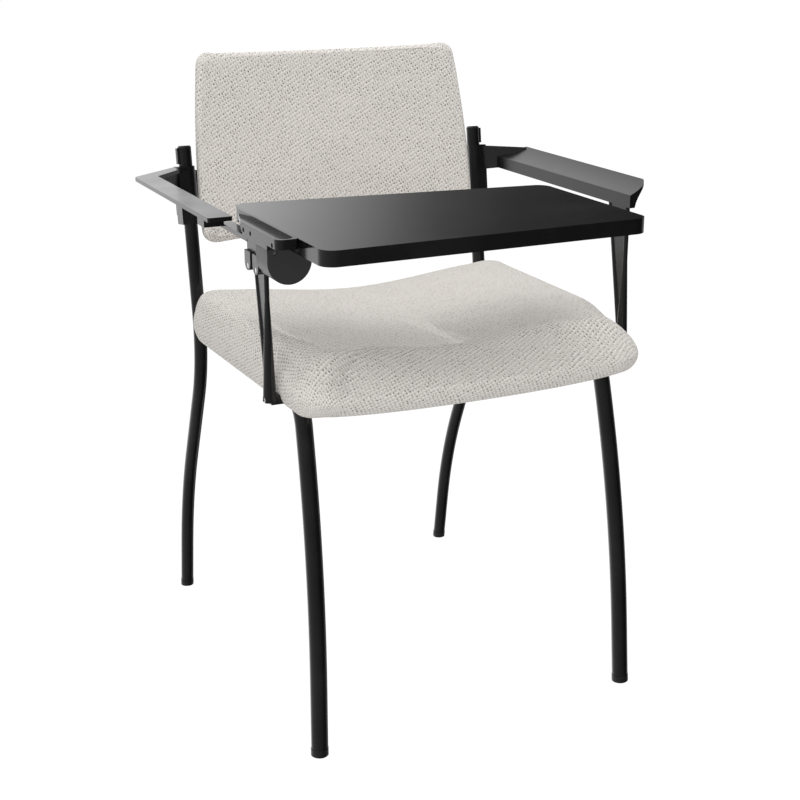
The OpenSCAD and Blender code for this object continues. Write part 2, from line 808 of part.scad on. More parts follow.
module screw_bores() {
    for (y = lobe_y)
        translate([0, y, base_low_z - 19]) rotate([0, 90, 0]) {
            translate([0, 0, post_x - 8]) cylinder(h = 40, d = screw_d + 2 * run_gap);
            translate([0, 0, lobe_out - 2.5]) cylinder(h = 10, d = 7.5);
        }
}

module hinge_base() {
    color("#202021") in_frame() sided(-1)
        difference() {
            union() {
                translate([post_x - 4.3, base_front_y, base_low_z])
                    cube([flip_x + knuckle_r - post_x + 4.3, base_rear_y - base_front_y,
                        flip_z - base_low_z]);
                translate([post_x - 4.3, base_front_y, flip_z - past])
                    cube([flip_x - post_x + 4.3, base_rear_y - base_front_y, knuckle_r + past]);
                translate([flip_x, base_rear_y, flip_z]) rotate([90, 0, 0])
                    cylinder(h = base_rear_y - base_front_y, r = knuckle_r);
                // the arm behind the block, which carries the band's bridge
                translate([post_x - 4.3, base_rear_y - past, hinge_top_z - 6.5])
                    cube([flip_x + 4.5 - post_x + 4.3, bridge_y + bridge_w - base_rear_y + past, 6]);
                for (y = lobe_y)
                    translate([post_x + post_top_r + 1, y, base_low_z - 14.7]) rotate([0, 90, 0]) {
                        cylinder(h = lobe_out - post_x - post_top_r - 1, r = lobe_r);
                        translate([-14.2, -lobe_r, 0])
                            cube([14.2, 2 * lobe_r, lobe_out - post_x - post_top_r - 1]);
                    }
                translate([post_x + post_top_r + 1, base_front_y + 0.2, base_low_z - 12])
                    cube([5, base_rear_y - base_front_y - 0.4, 13]);
            }
            post_body(base_low_z);
            translate([flip_x, 0, flip_z]) rotate([90, 0, 0])
                cylinder(h = 200, d = flip_pin_d);
            screw_bores();
        }
}

module base_screws() {
    color("#8d8f92") in_frame() sided(-1)
        for (y = lobe_y)
            translate([0, y, base_low_z - 19]) rotate([0, 90, 0]) {
                translate([0, 0, post_x - 2]) cylinder(h = lobe_out - post_x - 1, d = screw_d);
                translate([0, 0, lobe_out - 2.5]) cylinder(h = 2.2, d = 7);
            }
}

module flip_pin() {
    color("#a9abad") in_frame() sided(-1)
        translate([flip_x, base_rear_y - 0.5, flip_z]) rotate([90, 0, 0])
            cylinder(h = base_rear_y - drum_front_y - 3, d = flip_pin_d);
}

module flip_bushes() {
    color("#b9a15c") in_frame() sided(-1)
        for (y = [drum_front_y + 13, drum_rear_y])
            translate([flip_x, y, flip_z]) rotate([90, 0, 0])
                difference() {
                    cylinder(h = 10, d = flip_pin_d + 2 * bush_wall);
                    translate([0, 0, -past])
                        cylinder(h = 10 + 2 * past, d = flip_pin_d + 2 * run_gap);
                }
}

module hinge_drum() {
    drum_t = drum_rear_y - drum_front_y;
    color("#161617") in_frame() sided(-1)
        difference() {
            union() {
                translate([drum_x, drum_rear_y, drum_z]) rotate([90, 0, 0])
                    cylinder(h = drum_t, r = drum_r);
                translate([drum_x - drum_r, drum_front_y, drum_z])
                    cube([2 * drum_r, drum_t, hinge_top_z - drum_z]);
            }
            translate([drum_x - drum_r - past, drum_front_y - past, hinge_top_z])
                cube([2 * drum_r + 2 * past, drum_t + 2 * past, 40]);
            translate([flip_x, drum_rear_y + past, flip_z]) rotate([90, 0, 0])
                cylinder(h = drum_t + 2 * past, d = flip_pin_d + 2 * bush_wall);
            translate([swing_x, swing_y, hinge_top_z - 24])
                cylinder(h = 40, d = swing_pin_d);
        }
}

module swing_pin() {
    color("#a9abad") in_frame() sided(-1)
        translate([swing_x, swing_y, hinge_top_z - 24])
            cylinder(h = 24 + board_gap + 11, d = swing_pin_d);
}

module swing_bush() {
    color("#b9a15c") in_frame() sided(-1)
        translate([swing_x, swing_y, board_z])
            difference() {
                cylinder(h = 12, d = swing_pin_d + 4);
                translate([0, 0, -past])
                    cylinder(h = 12 + 2 * past, d = swing_pin_d + 2 * run_gap);
            }
}

// tablet

tablet_screw_y = [swing_y - 44.5, swing_y + 27.5, swing_y + 51.5];

module tablet_screw_bores(extra) {
    for (y = tablet_screw_y)
        translate([rail_out_x + past, y, rail_low_z + rail_bottom_t / 2]) rotate([0, -90, 0]) {
            cylinder(h = rail_w + past + 24, d = screw_d + extra);
            cylinder(h = past + 9, d = 5.8);
        }
}

module tablet_rail() {
    rail_rear_out_y = board_front_y + 190;
    rail_rear_in_y = board_front_y + 279;
    rail_top_z = tablet_rail_top_z;
    groove_w = rail_w - 9;
    color("#161617") in_frame() sided(-1)
        difference() {
            union() {
                translate([0, 0, rail_low_z])
                    linear_extrude(height = rail_top_z - rail_low_z) {
                        polygon([[rail_in_x, rail_front_y + 4], [rail_in_x + 4, rail_front_y],
                            [rail_out_x - 9, rail_front_y], [rail_out_x, rail_front_y + 9],
                            [rail_out_x, rail_rear_out_y], [rail_in_x, rail_rear_in_y]]);
                        translate([rail_out_x - 9, rail_front_y + 9]) circle(r = 9);
                    }
                translate([rail_in_x + 0.6, drum_front_y, board_z])
                    cube([drum_x + drum_r - rail_in_x - 0.6,
                        base_rear_y - past - pass_gap - drum_front_y, rail_low_z - board_z + past]);
            }
            // the channel along the top, open at the rear cut
            translate([rail_in_x + 4.5, rail_front_y + 12, rail_low_z + rail_bottom_t])
                cube([groove_w, 300, 40]);
            translate([rail_in_x + 4.5 + groove_w / 2, rail_front_y + 12, rail_low_z + rail_bottom_t])
                cylinder(h = 40, r = groove_w / 2);
            tablet_screw_bores(2 * run_gap);
        }
}

module tablet_screws() {
    color("#8d8f92") in_frame() sided(-1)
        for (y = tablet_screw_y)
            translate([rail_out_x - 8, y, rail_low_z + rail_bottom_t / 2]) rotate([0, -90, 0]) {
                translate([0, 0, -2.5]) cylinder(h = 2.5, d = 5.4);
                translate([0, 0, -past]) cylinder(h = rail_w - 8 + 20 + past, d = screw_d);
            }
}

module tablet() {
    r = board_corner_r;
    color("#1a1a1b") in_frame() sided(-1)
        difference() {
            translate([0, 0, board_z])
                round_plate([[r - board_right_x, board_front_right_y + r],
                    [board_left_x - r, board_front_y + r], [board_left_x - r, board_rear_y - r],
                    [r - board_right_x, board_rear_right_y - r]], r, board_t);
            translate([swing_x, swing_y, board_z - past])
                cylinder(h = 12 + past, d = swing_pin_d + 4);
            tablet_screw_bores(2 * run_gap);
        }
}

front_leg(-1);  // front_leg_left
front_leg(1);  // front_leg_right
rear_leg(-1);  // rear_leg_left
rear_leg(1);  // rear_leg_right
cross_tube_front();
cross_tube_rear();
foot(-1, true);  // foot_front_left
foot(1, true);  // foot_front_right
foot(-1, false);  // foot_rear_left
foot(1, false);  // foot_rear_right
cap(-1);  // cap_left
cap(1);  // cap_right
seat_pan();
seat_screws();
seat_cushion();
back_shell();
back_cushion();
armrest_right();
armrest_left();
sleeve_bolts(-1);  // sleeve_bolts_left
sleeve_bolts(1);  // sleeve_bolts_right
post(-1);  // post_left
post(1);  // post_right
post_lug(-1);  // post_lug_left
post_lug(1);  // post_lug_right
post_bolt(-1);  // post_bolt_left
post_bolt(1);  // post_bolt_right
hinge_base();
base_screws();
flip_pin();
flip_bushes();
hinge_drum();
swing_pin();
swing_bush();
tablet_rail();
tablet_screws();
tablet();
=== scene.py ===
"""Tablet arm chair: looks, padded seat and backrest, weld beads, studio and camera."""

import math

import bmesh
import bpy
import numpy as np
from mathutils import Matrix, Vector


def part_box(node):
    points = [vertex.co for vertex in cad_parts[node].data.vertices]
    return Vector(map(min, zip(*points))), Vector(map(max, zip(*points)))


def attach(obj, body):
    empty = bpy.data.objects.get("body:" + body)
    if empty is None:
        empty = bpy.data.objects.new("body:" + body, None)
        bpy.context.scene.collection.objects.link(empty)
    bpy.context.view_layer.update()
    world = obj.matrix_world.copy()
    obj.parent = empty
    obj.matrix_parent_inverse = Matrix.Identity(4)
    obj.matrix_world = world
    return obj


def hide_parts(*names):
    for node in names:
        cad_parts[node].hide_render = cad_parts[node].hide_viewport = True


bl_info = {
    "name": "Tablet arm chair",
    "version": (1, 0, 0),
    "blender": (4, 5, 0),
    "location": "View3D > Sidebar > Chair",
    "description": "Dresses the packed tablet arm chair with padded parts, finishes and a studio",
    "category": "Object",
}

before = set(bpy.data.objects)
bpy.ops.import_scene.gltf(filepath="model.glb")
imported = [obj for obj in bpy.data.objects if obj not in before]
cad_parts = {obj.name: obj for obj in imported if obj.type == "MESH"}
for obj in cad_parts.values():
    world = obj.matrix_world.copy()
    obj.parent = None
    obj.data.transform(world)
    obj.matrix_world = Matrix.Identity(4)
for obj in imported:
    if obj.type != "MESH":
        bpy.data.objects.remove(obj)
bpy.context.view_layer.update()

MM = 0.001
SEAT_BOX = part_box("seat_cushion")
BACK_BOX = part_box("back_cushion")
CROSS_FRONT_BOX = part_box("cross_tube_front")
CROSS_REAR_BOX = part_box("cross_tube_rear")
MIDDLE_X = (SEAT_BOX[0].x + SEAT_BOX[1].x) / 2

# millimetres
RAIL_Z = 458.0  # axis of the side rails above the floor
SEAT_FRONT = -136.0  # seat's front edge in its own coordinates
HEM_TOP = 479.0  # height at which the cloth ends inside the skirt
SKIN = 1.0  # by how much the seat's face is taken in before the cloth swells
BACK_LOW = 581.0  # lower edge of the backrest pad above the floor
CROWN = 4.0  # how far the backrest's face stands out at its middle
BEAD_R = 1.5
BEAD_RIPPLES = 34

CALM_RINGS = 14  # rings round the middle of a pad over which the cloth's moves are evened out


# helpers


def linear(code):
    """sRGB hex code to linear red, green, blue and alpha.

    v / 12.92 up to 0.04045, else ((v + 0.055) / 1.055) ^ 2.4.
    """
    values = [int(code[i : i + 2], 16) / 255 for i in (1, 3, 5)]
    return tuple(v / 12.92 if v <= 0.04045 else ((v + 0.055) / 1.055) ** 2.4 for v in values) + (1.0,)


def add(tree, kind, settings=None, **links):
    """Add a node. Settings set its own fields; links fill its sockets with a value or another node's socket.

    A link is named for its socket, with _ for a space, or i and the socket's number.
    """
    node = tree.nodes.new(kind)
    for field, value in (settings or {}).items():
        setattr(node, field, value)
    for key, value in links.items():
        name = key.replace("_", " ")
        socket = node.inputs[int(key[1:])] if key[0] == "i" and key[1:].isdigit() else node.inputs[name]
        if isinstance(value, bpy.types.NodeSocket):
            tree.links.new(value, socket)
        else:
            socket.default_value = value
    return node


def set_ramp(node, stops):
    """Give a colour ramp its stops, each a position from 0 to 1 and a colour."""
    elements = node.color_ramp.elements
    for element, (position, colour) in zip((elements[0], elements[1]), (stops[0], stops[-1])):
        element.position = position
        element.color = colour
    for position, colour in stops[1:-1]:
        elements.new(position).color = colour


def new_material(name):
    """An empty node material and its output node."""
    material = bpy.data.materials.new(name)
    material.use_nodes = True
    tree = material.node_tree
    tree.nodes.clear()
    return material, tree, tree.nodes.new("ShaderNodeOutputMaterial")


def smooth(t):
    """Cosine step from 0 to 1 over t from 0 to 1."""
    return 0.5 - 0.5 * np.cos(np.pi * np.clip(t, 0, 1))


def roll(t, p):
    """Rise of a rounded edge: (1 - (1 - t)^p)^(1/p), from 0 at the rim to 1 inside."""
    return np.power(1 - np.power(1 - np.clip(t, 0, 1), p), 1 / p)


def round_outline(w, y0, y1, r, count, r0=None):
    """Closed outline of a rectangle from -w to w and y0 to y1 with corner arcs of radius r, and r0 at y0.

    Corner arcs are (centre + r cos a, centre + r sin a); the straights join them, and count points are
    taken at equal steps of the outline's length. The four columns are x, y and the outward normal.
    """
    a = np.linspace(0, np.pi / 2, 24)
    corners = []
    r0 = r0 or r
    centres = [(w - r, y1 - r, r), (r - w, y1 - r, r), (r0 - w, y0 + r0, r0), (w - r0, y0 + r0, r0)]
    for k, (cx, cy, arc) in enumerate(centres):
        turn = a + k * np.pi / 2
        out_x, out_y = np.cos(turn), np.sin(turn)
        corners.append(np.stack([cx + arc * out_x, cy + arc * out_y, out_x, out_y], 1))
    dense = np.concatenate(corners + [corners[0][:1]])
    step = np.linalg.norm(np.diff(dense[:, :2], axis=0), axis=1)
    length = np.concatenate([[0], np.cumsum(step)])
    at = np.linspace(0, length[-1], count, endpoint=False)
    out = np.stack([np.interp(at, length, dense[:, k]) for k in range(4)], 1)
    out[:, 2:] /= np.linalg.norm(out[:, 2:], axis=1)[:, None]
    return out


def ring_mesh(name, rings, first, last, weave):
    """Closed solid through rings of equally many points, shut by a middle point at each end.

    Point i of ring j has the index j * n + i; weave gives each point its place on the flat cloth.
    """
    m, n, _ = rings.shape
    points = np.concatenate([rings.reshape(-1, 3), [first, last]])
    j, i = np.meshgrid(np.arange(m - 1), np.arange(n), indexing="ij")
    k = (i + 1) % n
    quads = np.stack([j * n + i, (j + 1) * n + i, (j + 1) * n + k, j * n + k], -1).reshape(-1, 4)
    around = np.arange(n)
    ahead = (around + 1) % n
    near = np.stack([np.full(n, n * m), around, ahead], 1)
    far = np.stack([np.full(n, n * m + 1), (m - 1) * n + ahead, (m - 1) * n + around], 1)
    mesh = bpy.data.meshes.new(name)
    mesh.from_pydata(points.tolist(), [], near.tolist() + quads.tolist() + far.tolist())
    mesh.polygons.foreach_set("use_smooth", np.ones(len(mesh.polygons), bool))
    index = np.zeros(len(mesh.loops), np.int32)
    mesh.loops.foreach_get("vertex_index", index)
    layer = mesh.uv_layers.new(name="cloth")
    layer.data.foreach_set("uv", weave[index].astype(np.float32).ravel())
    mesh.update()
    piece = bpy.data.objects.new(name, mesh)
    bpy.context.scene.collection.objects.link(piece)
    return piece


def coordinates(mesh):
    """The points of a mesh as one array."""
    out = np.zeros(len(mesh.vertices) * 3, np.float32)
    mesh.vertices.foreach_get("co", out)
    return out.reshape(-1, 3).astype(float)


def stuff(piece, held, pressure, most, count, calm):
    """Swell a padded shape with cloth simulation; held points stay, and no point moves more than most.

    Towards the middle of the face, over the first calm rings of count points, each point's move blends
    into its ring's mean, so that the cloth stays even where the rings close.
    """
    start = coordinates(piece.data)
    group = piece.vertex_groups.new(name="held")
    group.add([int(v) for v in held], 1.0, "REPLACE")
    cloth = piece.modifiers.new("cloth", "CLOTH")
    cloth.settings.quality = 5
    cloth.settings.use_pressure = True
    cloth.settings.uniform_pressure_force = pressure
    cloth.settings.effector_weights.gravity = 0
    cloth.settings.vertex_group_mass = "held"
    cloth.settings.tension_stiffness = 25
    cloth.settings.compression_stiffness = 25
    cloth.collision_settings.use_collision = False
    cloth.point_cache.frame_start = 1
    cloth.point_cache.frame_end = 20
    for step in range(1, 21):
        bpy.context.scene.frame_set(step)
    evaluated = piece.evaluated_get(bpy.context.evaluated_depsgraph_get())
    move = coordinates(evaluated.data) - start
    piece.modifiers.remove(cloth)
    piece.vertex_groups.remove(group)
    bpy.context.scene.frame_set(1)
    length = np.linalg.norm(move, axis=1)[:, None]
    move *= np.minimum(1, most / np.maximum(length, 1e-9))
    rings = move[:-2].reshape(-1, count, 3)
    share = np.clip(1 - np.arange(len(rings)) / calm, 0, 1)[:, None, None]
    rings += share * (rings.mean(axis=1, keepdims=True) - rings)
    move[-2] = rings[0].mean(axis=0)
    piece.data.vertices.foreach_set("co", (start + move).astype(np.float32).ravel())
    piece.data.update()


def soften(piece, levels):
    """Finish a piece with Catmull-Clark subdivision."""
    surface = piece.modifiers.new("surface", "SUBSURF")
    surface.levels = levels
    surface.render_levels = levels


# padded parts


def seat_rings(count):
    """Rings of the saddle seat in millimetres, from the middle of its top down the skirt and up inside it.

    Top: 43 above the rails, plus 6 t^2 fore and aft and a cosine step up to 23 towards both sides.
    Its rim rolls over as (1 - (1 - d)^p)^(1/p), 78 wide in front, 26 behind and 18 at the sides, which
    widens by 28 towards the front corners. The skirt is an arc that draws in as 1 - cos a while it
    falls as sin a; its hem rises 7 at the sides and bows back by 24 at the front corners.
    """
    w, y0, y1 = 242.5, SEAT_FRONT, 295.0
    bulge, low = 478.0, 443.0
    o = round_outline(w, y0, y1, 34.0, count, 44.0)
    x, y, nx, ny = o.T
    mid, half = (y0 + y1) / 2, (y1 - y0) / 2
    side, front, rear = nx * nx, ny * ny * (ny < 0), ny * ny * (ny >= 0)

    def widened(px, py):
        return px * (1 + 0.036 * (py - y0) / (y1 - y0))

    def top(px, py):
        t = (py - mid) / half
        return RAIL_Z + 43 + 6 * t * t + (23 - 6 * t * t) * smooth(np.abs(px) / (w - 18))

    s = np.concatenate([np.linspace(0.94, 0.3, 17), np.linspace(0.27, 0.08, 10),
                        [0.065, 0.05, 0.037, 0.026, 0.017, 0.01, 0.005, 0.002]])[:, None]
    px, py = x * (1 - s), mid + (y - mid) * (1 - s)
    reach = np.abs(x * nx) + np.abs((y - mid) * ny)
    ahead = smooth((y0 + 150 - y) / 120)
    d = s * reach / ((18 + 28 * ahead) * side + 78 * front + 26 * rear)
    z = bulge + (top(px, py) - bulge) * roll(d, (2 - 0.5 * ahead) * side + 1.35 * front + 2 * rear)
    upper = np.stack([widened(px, py), py, z], -1)

    draw = 13 * side + 30 * front + 8 * rear
    draw = draw + 24 * front * (x / w) ** 2
    level = smooth((ny - 0.1) / 0.35)
    hem = low + 31 * level + (1 - level) * (8 * (x / w) ** 4 - 1)
    a = np.radians(np.linspace(0, 90, 13))[:, None]
    draw_in = draw * (1 - np.cos(a))
    sy = y - draw_in * ny
    lower = np.stack([widened(x - draw_in * nx, sy), sy, bulge - (bulge - hem) * np.sin(a)], -1)

    depth = np.array([[0.5], [1.75], [3.0], [3.5], [3.5], [3.5], [3.5]])
    rise = np.array([[-0.9], [-1.1], [-0.9], [0.0], [10.0], [20.0], [36.0]])
    iy = y - (draw + depth) * ny
    climb = np.where(rise <= 0, hem + rise, hem + (HEM_TOP - hem) * rise / 36)
    inner = np.stack([widened(x - (draw + depth) * nx, iy), iy, climb], -1)
    rings = np.concatenate([upper, lower, inner])
    step = np.linalg.norm(np.diff(rings, axis=0), axis=-1)
    along = np.concatenate([np.zeros((1, count)), np.cumsum(step, axis=0)])
    flat = along - along[len(s) - 9]
    run = np.where(np.arange(len(rings))[:, None] > len(s) - 9, flat, 0)
    base = rings[len(s) - 9]
    u = np.where(run > 0, base[:, 0] + run * nx, rings[..., 0])
    v = np.where(run > 0, base[:, 1] + run * ny, rings[..., 1])
    return rings, np.stack([u, v], -1), top(0.0, mid), mid, len(s)


def back_rings(count):
    """Rings of the backrest pad in millimetres on its own upright plane, from the middle of its front.

    The front is a part of a drum of radius (w^2 + hollow^2) / (2 hollow), crowned by 4; its sides
    narrow as 1 - 0.0715 h^2 towards the top, and its edge rolls over 10 to the sides and draws in to
    the rear.
    """
    w, hollow, thick = 216.5, 27.0, 24.0
    lean = math.radians(9.4)
    high = 258.0 / math.cos(lean) + 3
    radius = (w * w + hollow * hollow) / (2 * hollow)
    x, y, nx, ny = round_outline(w, 0.0, high, 16.0, count).T

    def place(s, draw_in, back):
        h = high / 2 + (y - draw_in * ny - high / 2) * (1 - s)
        taper = np.where(h > 37, 1 - 0.0715 * ((h - 37) / 217) ** 2, 1 - 0.014 * ((37 - h) / 37) ** 2)
        px = (x - draw_in * nx) * (1 - s) * taper
        depth = np.sqrt((radius + back) ** 2 - px * px) - (radius - hollow)
        return np.stack([px, depth, h], -1)

    s = np.concatenate([np.linspace(0.94, 0.2, 18), [0.15, 0.1, 0.06, 0.03]])[:, None]
    front = place(s, 0 * s, CROWN * (1 - s * s) - CROWN)
    i = np.array([9.0, 7, 5, 3.5, 2.2, 1.2, 0.5, 0.15])[:, None]
    edge = place(0 * i, i, 5 * (1 - roll(i / 10, 2)))
    c = np.array([[0, 5.0], [0, 6.5], [0.3, 8], [1, 10.5], [3, 14], [5.5, 17], [8, thick - 5],
                  [10.5, thick - 2.6], [13, thick - 1], [16, thick]])
    side = place(0 * c[:, :1], c[:, :1], c[:, 1:])
    r = np.array([0.15, 0.35, 0.55, 0.75])[:, None]
    rear = place(r, 16 + 0 * r, thick + 0 * r)
    rings = np.concatenate([front, edge, side, rear])
    step = np.linalg.norm(np.diff(rings, axis=0), axis=-1)
    along = np.concatenate([np.zeros((1, count)), np.cumsum(step, axis=0)])
    turn = len(front) - 1
    run = np.where(np.arange(len(rings))[:, None] > turn, along - along[turn], 0)
    u = np.where(run > 0, rings[turn][:, 0] + run * nx, rings[..., 0])
    v = np.where(run > 0, rings[turn][:, 2] + run * ny, rings[..., 2])
    return rings, np.stack([u, v], -1), high, hollow, thick, lean, len(front) + len(edge) + 3


def make_seat_pad(looks):
    """The upholstered seat: a taut cloth skin over a saddle of foam, with its skirt round the pan."""
    rings, weave, top_z, mid, face_rings = seat_rings(looks.seat_points)
    count = rings.shape[1]
    upper = rings[:, :, 2] > 470
    rings[..., 2] -= SKIN * upper
    shift = np.array([MIDDLE_X / MM, SEAT_BOX[0].y / MM - SEAT_FRONT, 0])
    points = (rings + shift) * MM
    first = (np.array([0, mid, top_z - SKIN]) + shift) * MM
    last = (np.array([0, mid, HEM_TOP]) + shift) * MM
    cloth = np.concatenate([weave.reshape(-1, 2), [[0, mid], [0, mid]]]) * MM
    piece = ring_mesh("seat_pad", points, first, last, cloth)
    ring_of = np.arange(len(rings) * count) // count
    held = np.concatenate([np.flatnonzero(ring_of >= face_rings), [len(rings) * count + 1]])
    stuff(piece, held, looks.pressure, looks.seat_swell, count, CALM_RINGS)
    soften(piece, 1)
    return piece


def make_back_pad(looks):
    """The upholstered backrest pad: a curved slab of foam with a softly crowned front and a rolled edge."""
    rings, weave, high, hollow, thick, lean, rolled = back_rings(looks.back_points)
    count = rings.shape[1]
    centre = np.array([[0, hollow - CROWN, high / 2], [0, hollow + thick, high / 2]])
    c, s = math.cos(lean), math.sin(lean)
    turn = np.array([[1, 0, 0], [0, c, s], [0, -s, c]])
    points = rings @ turn.T
    middle = centre @ turn.T
    front_y = BACK_BOX[0].y / MM - points[..., 1].min()
    shift = np.array([MIDDLE_X / MM, front_y, BACK_LOW])
    cloth = np.concatenate([weave.reshape(-1, 2), [[0, high / 2], [0, high / 2]]]) * MM
    first, last = (middle + shift) * MM
    piece = ring_mesh("back_pad", (points + shift) * MM, first, last, cloth)
    ring_of = np.arange(len(rings) * count) // count
    held = np.concatenate([np.flatnonzero(ring_of >= rolled), [len(rings) * count + 1]])
    stuff(piece, held, looks.pressure, looks.back_swell, count, CALM_RINGS)
    soften(piece, 1)
    # the board reflects the studio and not the backrest
    piece.visible_glossy = False
    return piece


def bead(path, thick, ripples):
    """A weld bead: a tube along a closed path, whose radius swells as 1 + 0.14 sin(k t)."""
    n = len(path)
    t = np.linspace(0, 2 * np.pi, n, endpoint=False)
    ahead = np.roll(path, -1, 0) - np.roll(path, 1, 0)
    ahead /= np.linalg.norm(ahead, axis=1)[:, None]
    out = path - path.mean(0)
    out -= (out * ahead).sum(1)[:, None] * ahead
    out /= np.linalg.norm(out, axis=1)[:, None]
    up = np.cross(ahead, out)
    a = np.linspace(0, 2 * np.pi, 10, endpoint=False)[None, :, None]
    r = thick * (1 + 0.14 * np.sin(ripples * t))[:, None, None]
    return path[:, None] + r * (np.cos(a) * out[:, None] + np.sin(a) * up[:, None])


def make_welds(looks):
    """Weld beads where the cross tubes meet the side rails: the saddle curve of two round tubes.

    For a cross tube of radius a on a rail of radius b the curve is x = rail - sqrt(b^2 - (a sin t)^2).
    """
    t = np.linspace(0, 2 * np.pi, 96, endpoint=False)
    vertices, faces = [], []
    rail_x = looks.rail_x / MM
    rail_r = looks.rail_d / MM / 2
    front_y = (CROSS_FRONT_BOX[0].y + CROSS_FRONT_BOX[1].y) / 2 / MM
    rear_y = (CROSS_REAR_BOX[0].y + CROSS_REAR_BOX[1].y) / 2 / MM
    cross_r = (CROSS_FRONT_BOX[1].z - CROSS_FRONT_BOX[0].z) / 2 / MM
    for side in (-1, 1):
        saddle = np.sqrt(rail_r**2 - (cross_r * np.sin(t)) ** 2)
        paths = [
            np.stack([side * (rail_x - saddle), front_y + cross_r * np.cos(t),
                      RAIL_Z + cross_r * np.sin(t)], 1),
            np.stack([side * (rail_x + rail_r * np.cos(t)),
                      rear_y - rail_r * np.sqrt(np.maximum(0.02, 1 - np.sin(t) ** 2)),
                      RAIL_Z + rail_r * np.sin(t)], 1),
        ]
        for path in paths:
            path[:, 0] += MIDDLE_X / MM
            tube = bead(path, BEAD_R, BEAD_RIPPLES)
            n, k, _ = tube.shape
            base = sum(len(v) for v in vertices)
            i, j = np.meshgrid(np.arange(n), np.arange(k), indexing="ij")
            i2, j2 = (i + 1) % n, (j + 1) % k
            quad = np.stack([i * k + j, i2 * k + j, i2 * k + j2, i * k + j2], -1)
            vertices.append(tube.reshape(-1, 3) * MM)
            faces.append(quad.reshape(-1, 4) + base)
    mesh = bpy.data.meshes.new("weld_beads")
    mesh.from_pydata(np.concatenate(vertices).tolist(), [], np.concatenate(faces).tolist())
    mesh.polygons.foreach_set("use_smooth", np.ones(len(mesh.polygons), bool))
    mesh.update()
    piece = bpy.data.objects.new("weld_beads", mesh)
    bpy.context.scene.collection.objects.link(piece)
    outward(piece)
    return piece


def outward(piece):
    """Turn the faces of a closed piece outwards."""
    work = bmesh.new()
    work.from_mesh(piece.data)
    bmesh.ops.recalc_face_normals(work, faces=work.faces)
    work.to_mesh(piece.data)
    work.free()


# finishes


